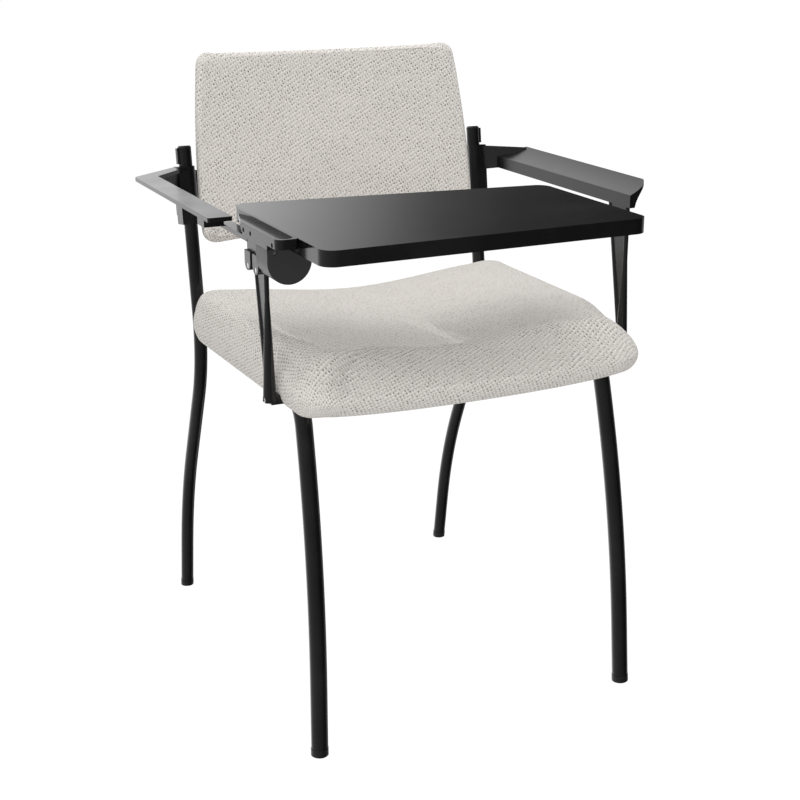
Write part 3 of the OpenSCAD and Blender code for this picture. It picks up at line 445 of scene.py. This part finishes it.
def woven_cloth(looks):
    """Woven polyester: pale warm yarn crossed by a dark one, which shows as flecks in slanting rows.

    Flecks stand 4.4 mm apart in rows 5.3 mm apart, and few are dark. The real yarn is too fine to
    show, so it is drawn 1.5 mm thick.
    """
    material, tree, output = new_material("woven_polyester")
    cloth = add(tree, "ShaderNodeUVMap", {"uv_map": "cloth"})
    turned = add(tree, "ShaderNodeMapping", {"vector_type": "TEXTURE"}, Vector=cloth.outputs["UV"],
                 Rotation=(0, 0, math.radians(27)), Scale=(0.0044, 0.0053, 1))
    wander = add(tree, "ShaderNodeTexNoise", {"noise_dimensions": "2D"}, Vector=cloth.outputs["UV"],
                 Scale=26.0, Detail=2.0)
    fleck = add(tree, "ShaderNodeTexVoronoi", {"voronoi_dimensions": "2D"}, Vector=turned.outputs["Vector"],
                Scale=1.0, Randomness=0.32)
    spot = add(tree, "ShaderNodeMapRange", {"interpolation_type": "SMOOTHSTEP"},
               Value=fleck.outputs["Distance"], From_Min=0.36, From_Max=0.12, To_Min=0.0, To_Max=1.0)
    chance = add(tree, "ShaderNodeSeparateColor", Color=fleck.outputs["Color"])
    rare = add(tree, "ShaderNodeMath", {"operation": "POWER"}, i0=chance.outputs["Red"], i1=2.2)
    patch = add(tree, "ShaderNodeMath", {"operation": "MULTIPLY_ADD"}, i0=wander.outputs["Fac"], i1=0.7,
                i2=rare.outputs[0])
    depth = add(tree, "ShaderNodeMapRange", Value=patch.outputs[0], From_Min=0.3, From_Max=1.35,
                To_Min=0.36, To_Max=1.0)
    dark = add(tree, "ShaderNodeMath", {"operation": "MULTIPLY"}, i0=spot.outputs["Result"],
               i1=depth.outputs["Result"])
    yarn_across = add(tree, "ShaderNodeTexWave", {"bands_direction": "X", "wave_profile": "SIN"},
                      Vector=turned.outputs["Vector"], Scale=0.96, Distortion=1.4, Detail=1.0,
                      Detail_Scale=2.0)
    yarn_along = add(tree, "ShaderNodeTexWave", {"bands_direction": "Y", "wave_profile": "SIN"},
                     Vector=turned.outputs["Vector"], Scale=0.82, Distortion=1.2, Detail=1.0,
                     Detail_Scale=2.0)
    crossed = add(tree, "ShaderNodeMath", {"operation": "MULTIPLY"}, i0=yarn_across.outputs["Fac"],
                  i1=yarn_along.outputs["Fac"])
    fuzz = add(tree, "ShaderNodeTexNoise", {"noise_dimensions": "2D"}, Vector=turned.outputs["Vector"],
               Scale=3.4, Detail=3.0, Roughness=0.65)
    rows = add(tree, "ShaderNodeTexWave", {"bands_direction": "Y", "wave_profile": "SIN"},
               Vector=turned.outputs["Vector"], Scale=math.pi / 10, Distortion=0.6, Detail=1.0)
    woven = add(tree, "ShaderNodeMath", {"operation": "MULTIPLY_ADD"}, i0=rows.outputs["Fac"], i1=-0.3,
                i2=fuzz.outputs["Fac"])
    tone = add(tree, "ShaderNodeMath", {"operation": "MULTIPLY_ADD"}, i0=crossed.outputs[0], i1=0.5,
               i2=woven.outputs[0])
    yarn = add(tree, "ShaderNodeValToRGB", Fac=tone.outputs[0])
    set_ramp(yarn, [(0.15, linear("#b0aba4")), (0.75, tuple(looks.cloth_colour) + (1.0,))])
    dyed = add(tree, "ShaderNodeMix", {"data_type": "RGBA"}, i0=dark.outputs[0], i6=yarn.outputs["Color"],
               i7=tuple(looks.fleck_colour) + (1.0,))
    height = add(tree, "ShaderNodeMath", {"operation": "SUBTRACT"}, i0=tone.outputs[0], i1=dark.outputs[0])
    relief = add(tree, "ShaderNodeBump", Height=height.outputs[0], Strength=0.35, Distance=0.0006)
    surface = add(tree, "ShaderNodeBsdfPrincipled", Base_Color=dyed.outputs[2], Roughness=0.92,
                  Normal=relief.outputs["Normal"], Specular_IOR_Level=0.25, Sheen_Weight=0.12,
                  Sheen_Roughness=0.5)
    tree.links.new(surface.outputs[0], output.inputs["Surface"])
    return material


def black_finish(name, colour, roughness, grain_mm, depth_mm, worn="#2a2a2b"):
    """A black surface with a fine grain of its own size, slightly uneven in gloss."""
    material, tree, output = new_material(name)
    place = add(tree, "ShaderNodeTexCoord")
    grain = add(tree, "ShaderNodeTexNoise", Vector=place.outputs["Object"], Scale=1000 / grain_mm,
                Detail=3.0, Roughness=0.6)
    handled = add(tree, "ShaderNodeTexNoise", Vector=place.outputs["Object"], Scale=14.0, Detail=4.0)
    gloss = add(tree, "ShaderNodeMapRange", Value=handled.outputs["Fac"], From_Min=0.3, From_Max=0.7,
                To_Min=roughness - 0.03, To_Max=roughness + 0.04)
    shade = add(tree, "ShaderNodeMapRange", Value=handled.outputs["Fac"], From_Min=0.45, From_Max=0.8,
                To_Min=0.0, To_Max=0.25)
    tint = add(tree, "ShaderNodeMix", {"data_type": "RGBA"}, i0=shade.outputs["Result"], i6=linear(colour),
               i7=linear(worn))
    relief = add(tree, "ShaderNodeBump", Height=grain.outputs["Fac"], Strength=0.25, Distance=depth_mm * MM)
    surface = add(tree, "ShaderNodeBsdfPrincipled", Base_Color=tint.outputs[2],
                  Roughness=gloss.outputs["Result"], Normal=relief.outputs["Normal"], IOR=1.5)
    tree.links.new(surface.outputs[0], output.inputs["Surface"])
    return material


def metal_finish(name, colour, roughness, line_mm):
    """A plated or ground metal surface with slightly uneven gloss in spots of line_mm."""
    material, tree, output = new_material(name)
    place = add(tree, "ShaderNodeTexCoord")
    marks = add(tree, "ShaderNodeTexNoise", Vector=place.outputs["Object"], Scale=1000 / line_mm,
                Detail=2.0)
    gloss = add(tree, "ShaderNodeMapRange", Value=marks.outputs["Fac"], From_Min=0.3, From_Max=0.7,
                To_Min=roughness - 0.08, To_Max=roughness + 0.08)
    relief = add(tree, "ShaderNodeBump", Height=marks.outputs["Fac"], Strength=0.15, Distance=0.00005)
    surface = add(tree, "ShaderNodeBsdfPrincipled", Base_Color=linear(colour), Metallic=1.0,
                  Roughness=gloss.outputs["Result"], Normal=relief.outputs["Normal"])
    tree.links.new(surface.outputs[0], output.inputs["Surface"])
    return material


def birch_ply():
    """Birch plywood: pale faces with long grain, and 1.4 mm veneers that show as bands at the cut edge."""
    material, tree, output = new_material("birch_plywood")
    place = add(tree, "ShaderNodeTexCoord")
    stretched = add(tree, "ShaderNodeMapping", Vector=place.outputs["Object"], Scale=(6, 90, 90))
    grain = add(tree, "ShaderNodeTexNoise", Vector=stretched.outputs["Vector"], Scale=1.6, Detail=5.0)
    layers = add(tree, "ShaderNodeTexWave", {"bands_direction": "Z"}, Vector=place.outputs["Object"],
                 Scale=2 * math.pi / 20 / 0.0028 / 2)
    mixed = add(tree, "ShaderNodeMath", {"operation": "MULTIPLY_ADD"}, i0=layers.outputs["Fac"], i1=0.35,
                i2=grain.outputs["Fac"])
    wood = add(tree, "ShaderNodeValToRGB", Fac=mixed.outputs[0])
    set_ramp(wood, [(0.35, linear("#c39a63")), (0.9, linear("#96703f"))])
    relief = add(tree, "ShaderNodeBump", Height=grain.outputs["Fac"], Strength=0.2, Distance=0.0003)
    surface = add(tree, "ShaderNodeBsdfPrincipled", Base_Color=wood.outputs["Color"], Roughness=0.62,
                  Normal=relief.outputs["Normal"])
    tree.links.new(surface.outputs[0], output.inputs["Surface"])
    return material


def dress(names, material):
    """Give CAD nodes a finish."""
    for name in names:
        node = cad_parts[name]
        node.data.materials.clear()
        node.data.materials.append(material)


# settings that a user would change


class ChairLooks(bpy.types.PropertyGroup):
    """Sizes and colours of the chair's dressed parts."""

    cloth_colour: bpy.props.FloatVectorProperty(
        name="Cloth", description="Colour of the pale yarn", subtype="COLOR", size=3, min=0, max=1,
        default=linear("#e2deda")[:3])
    fleck_colour: bpy.props.FloatVectorProperty(
        name="Fleck", description="Colour of the dark yarn that shows as flecks", subtype="COLOR", size=3,
        min=0, max=1, default=linear("#57524c")[:3])
    seat_points: bpy.props.IntProperty(
        name="Seat points", description="Points round the seat pad's outline", default=240, min=60, max=400)
    back_points: bpy.props.IntProperty(
        name="Back points", description="Points round the backrest pad's outline", default=220, min=60,
        max=400)
    pressure: bpy.props.FloatProperty(
        name="Pressure", description="Inner pressure that tightens the cloth over the foam", default=4.0,
        min=0, max=10)
    seat_swell: bpy.props.FloatProperty(
        name="Seat swell", description="Most that the seat's cloth may stand out", default=0.002, min=0,
        max=0.02, unit="LENGTH")
    back_swell: bpy.props.FloatProperty(
        name="Back swell", description="Most that the backrest's cloth may stand out", default=0.002, min=0,
        max=0.02, unit="LENGTH")
    rail_x: bpy.props.FloatProperty(
        name="Rail distance", description="Distance of a side rail from the middle plane", default=0.2152,
        min=0.2, max=0.23, unit="LENGTH")
    rail_d: bpy.props.FloatProperty(
        name="Rail diameter", description="Diameter of a side rail", default=0.022, min=0.02, max=0.024,
        unit="LENGTH")
    camera_distance_shift: bpy.props.FloatProperty(
        name="Camera shift", description="Moves the camera back from the photographed distance",
        default=0.0, min=-0.5, max=2.0, unit="LENGTH")


# one operator for each group of pieces


class CHAIR_OT_seat_pad(bpy.types.Operator):
    """Make the upholstered seat pad over the seat pan"""

    bl_idname = "chair.seat_pad"
    bl_label = "Seat pad"

    def execute(self, context):
        piece = make_seat_pad(context.scene.chair_looks)
        piece.data.materials.append(bpy.data.materials["woven_polyester"])
        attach(piece, "frame")
        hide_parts("seat_cushion")
        return {"FINISHED"}


class CHAIR_OT_back_pad(bpy.types.Operator):
    """Make the upholstered backrest pad in front of its shell"""

    bl_idname = "chair.back_pad"
    bl_label = "Backrest pad"

    def execute(self, context):
        piece = make_back_pad(context.scene.chair_looks)
        piece.data.materials.append(bpy.data.materials["woven_polyester"])
        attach(piece, "frame")
        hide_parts("back_cushion")
        return {"FINISHED"}


class CHAIR_OT_finishes(bpy.types.Operator):
    """Make the materials and give every rigid part its finish"""

    bl_idname = "chair.finishes"
    bl_label = "Finishes"

    def execute(self, context):
        cloth = woven_cloth(context.scene.chair_looks)
        # epoxy powder over steel: glossy black with a slight orange peel
        tube = black_finish("powder_coated_steel", "#0c0c0d", 0.2, 2.4, 0.008)
        # injection moulded polyamide: spark-eroded grain, satin
        moulded = black_finish("moulded_polyamide", "#0d0d0d", 0.22, 0.9, 0.003)
        # pressure die-cast zinc under black powder
        casting = black_finish("coated_zinc_casting", "#101011", 0.22, 1.2, 0.004)
        # the same casting under a fine textured powder, with painted light: its base colour is lifted to
        # dark grey to stand in for the light falling on the drum's faces
        painted_lighter_casting = black_finish("zinc_casting_painted_lighter", "#2e2e2f", 0.42, 1.0, 0.01)
        # melamine faced board with a moulded edge: smooth and glossy
        board = black_finish("melamine_faced_board", "#0e0e0f", 0.14, 3.0, 0.002)
        # polyethylene glide: soft gloss, scuffed by the floor
        glide = black_finish("moulded_polyethylene", "#111112", 0.42, 0.7, 0.02, worn="#39393a")
        steel = metal_finish("zinc_plated_steel", "#b9bcc0", 0.3, 0.5)
        pin = metal_finish("ground_steel", "#c3c5c7", 0.2, 0.3)
        bronze = metal_finish("sintered_bronze", "#b08d57", 0.4, 0.35)
        ply = birch_ply()
        sides = ("left", "right")
        dress([f"{leg}_{side}" for leg in ("front_leg", "rear_leg", "post_lug") for side in sides], tube)
        dress(["cross_tube_front", "cross_tube_rear"], tube)
        dress([f"foot_{end}_{side}" for end in ("front", "rear") for side in sides], glide)
        dress([f"cap_{side}" for side in sides], glide)
        dress(["back_shell", "armrest_left", "armrest_right"], moulded)
        dress([f"post_{side}" for side in sides] + ["hinge_base", "tablet_rail"], casting)
        # the drum's grey base colour is painted light; the drum is the same black casting as the base and
        # rail
        dress(["hinge_drum"], painted_lighter_casting)
        dress(["tablet"], board)
        dress(["seat_pan"], ply)
        dress(["seat_screws", "sleeve_bolts_left", "sleeve_bolts_right", "post_bolt_left", "post_bolt_right",
               "base_screws", "tablet_screws"], steel)
        dress(["flip_pin", "swing_pin"], pin)
        dress(["flip_bushes", "swing_bush"], bronze)
        dress(["seat_cushion", "back_cushion"], cloth)
        # the board reflects the studio and not the backrest
        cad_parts["back_shell"].visible_glossy = False
        return {"FINISHED"}


class CHAIR_OT_welds(bpy.types.Operator):
    """Make the weld beads of the frame"""

    bl_idname = "chair.welds"
    bl_label = "Weld beads"

    def execute(self, context):
        piece = make_welds(context.scene.chair_looks)
        piece.data.materials.append(bpy.data.materials["powder_coated_steel"])
        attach(piece, "frame")
        return {"FINISHED"}


class CHAIR_OT_stage(bpy.types.Operator):
    """Make the floor, the lamps, the surroundings and the camera"""

    bl_idname = "chair.stage"
    bl_label = "Studio"

    def execute(self, context):
        scene = context.scene
        scene.view_settings.view_transform = "Standard"
        make_floor()
        make_surroundings(scene)
        make_lamps(scene)
        make_camera(scene)
        return {"FINISHED"}


def make_floor():
    """A white floor that looks like the background, with the chair's faint shade on it."""
    mesh = bpy.data.meshes.new("floor")
    half = 14.0
    corners = [(-half, -half, 0), (half, -half, 0), (half, half, 0), (-half, half, 0)]
    mesh.from_pydata(corners, [], [(0, 1, 2, 3)])
    floor = bpy.data.objects.new("floor", mesh)
    floor.location.z = -0.0005
    bpy.context.scene.collection.objects.link(floor)
    material, tree, output = new_material("white_paper")
    ray = add(tree, "ShaderNodeLightPath")
    share = add(tree, "ShaderNodeMath", {"operation": "MULTIPLY"}, i0=ray.outputs["Is Camera Ray"], i1=0.93)
    paper = add(tree, "ShaderNodeBsdfDiffuse", Color=linear("#e8e8e8"))
    glow = add(tree, "ShaderNodeEmission", Color=(1, 1, 1, 1), Strength=1.06)
    mixed = add(tree, "ShaderNodeMixShader", i0=share.outputs[0], i1=paper.outputs[0], i2=glow.outputs[0])
    tree.links.new(mixed.outputs[0], output.inputs["Surface"])
    mesh.materials.append(material)
    floor.visible_glossy = False


def make_surroundings(scene):
    """White surroundings for the camera; what gloss reflects falls off by bearing, each stop in degrees."""
    world = bpy.data.worlds.new("studio")
    scene.world = world
    world.cycles.sampling_method = "NONE"
    world.use_nodes = True
    tree = world.node_tree
    tree.nodes.clear()
    output = tree.nodes.new("ShaderNodeOutputWorld")
    ray = add(tree, "ShaderNodeLightPath")
    look = add(tree, "ShaderNodeTexCoord")
    axes = add(tree, "ShaderNodeSeparateXYZ", Vector=look.outputs["Generated"])
    bearing = add(tree, "ShaderNodeMath", {"operation": "ARCTAN2"}, i0=axes.outputs["X"],
                  i1=axes.outputs["Y"])
    turn = add(tree, "ShaderNodeMapRange", Value=bearing.outputs[0], From_Min=-math.pi, From_Max=math.pi)
    ramp = add(tree, "ShaderNodeValToRGB", Fac=turn.outputs["Result"])
    stops = [(-180, 0.2), (-150, 0.26), (-120, 0.34), (-60, 0.6), (-10, 1.6), (16, 1.5), (20.3, 0.9),
             (23.4, 0.5), (26.1, 0.17), (29.2, 0.075), (33, 0.045), (38, 0.02), (55, 0.03), (70, 0.6),
             (84, 0.5), (98, 0.02), (140, 0.01), (165, 0.15)]
    set_ramp(ramp, [((degrees + 180) / 360, (value, value, value, 1)) for degrees, value in stops])
    soft = add(tree, "ShaderNodeBackground", Color=(1, 1, 1, 1), Strength=0.55)
    gloss = add(tree, "ShaderNodeBackground", Color=ramp.outputs["Color"], Strength=1.0)
    white = add(tree, "ShaderNodeBackground", Color=(1, 1, 1, 1), Strength=1.0)
    lit = add(tree, "ShaderNodeMixShader", i0=ray.outputs["Is Glossy Ray"], i1=soft.outputs[0],
              i2=gloss.outputs[0])
    seen = add(tree, "ShaderNodeMath", {"operation": "MAXIMUM"}, i0=ray.outputs["Is Camera Ray"],
               i1=ray.outputs["Is Transmission Ray"])
    shown = add(tree, "ShaderNodeMixShader", i0=seen.outputs[0], i1=lit.outputs[0], i2=white.outputs[0])
    tree.links.new(shown.outputs[0], output.inputs["Surface"])


def make_lamps(scene):
    """Three large soft lamps round the chair. They cast no shadow, so the seat under the tablet is lit.

    Each has its place in metres, its diameter in metres and its power in watts.
    """
    lamps = [("lamp_left_front", (-1.9, -2.3, 1.9), 2.2, 48.0), ("lamp_right", (2.4, -1.0, 1.7), 2.0, 10.0),
             ("lamp_top", (0.0, 0.1, 2.9), 2.6, 42.0)]
    for name, place, size, power in lamps:
        lamp = bpy.data.lights.new(name, "AREA")
        lamp.shape = "DISK"
        lamp.size = size
        lamp.energy = power
        lamp.use_shadow = False
        holder = bpy.data.objects.new(name, lamp)
        holder.location = place
        toward = np.array([0, 0, 0.5]) - np.array(place)
        holder.rotation_mode = "QUATERNION"
        holder.rotation_quaternion = Vector(toward).to_track_quat("-Z", "Y")
        holder.visible_glossy = False
        scene.collection.objects.link(holder)


def make_camera(scene):
    """The photograph's camera: 25.3 degrees round, 18.32 down, focal length 1495.95 pixels of 800."""
    lens = bpy.data.cameras.new("camera")
    lens.sensor_width = 36.0
    lens.lens = 36.0 * 1495.95 / 800
    lens.clip_end = 100
    camera = bpy.data.objects.new("camera", lens)
    yaw, pitch = math.radians(25.30), math.radians(18.32)
    back = scene.chair_looks.camera_distance_shift
    camera.location = (-0.8335 - back * math.sin(yaw), -1.8064 - back * math.cos(yaw), 1.0355)
    camera.rotation_euler = (math.pi / 2 - pitch, 0, -yaw)
    scene.collection.objects.link(camera)
    scene.camera = camera


class CHAIR_PT_panel(bpy.types.Panel):
    """Sidebar panel with the chair's steps and settings"""

    bl_idname = "CHAIR_PT_panel"
    bl_label = "Tablet arm chair"
    bl_space_type = "VIEW_3D"
    bl_region_type = "UI"
    bl_category = "Chair"

    def draw(self, context):
        for step in STEPS:
            self.layout.operator(step.bl_idname)
        for key in ChairLooks.__annotations__:
            self.layout.prop(context.scene.chair_looks, key)


STEPS = (CHAIR_OT_stage, CHAIR_OT_finishes, CHAIR_OT_seat_pad, CHAIR_OT_back_pad, CHAIR_OT_welds)
CLASSES = (ChairLooks, *STEPS, CHAIR_PT_panel)


def register():
    for item in CLASSES:
        bpy.utils.register_class(item)
    bpy.types.Scene.chair_looks = bpy.props.PointerProperty(type=ChairLooks)


def unregister():
    del bpy.types.Scene.chair_looks
    for item in reversed(CLASSES):
        bpy.utils.unregister_class(item)


def main():
    register()
    bpy.ops.chair.stage()
    bpy.ops.chair.finishes()
    bpy.ops.chair.seat_pad()
    bpy.ops.chair.back_pad()
    bpy.ops.chair.welds()


if __name__ == "__main__":
    main()
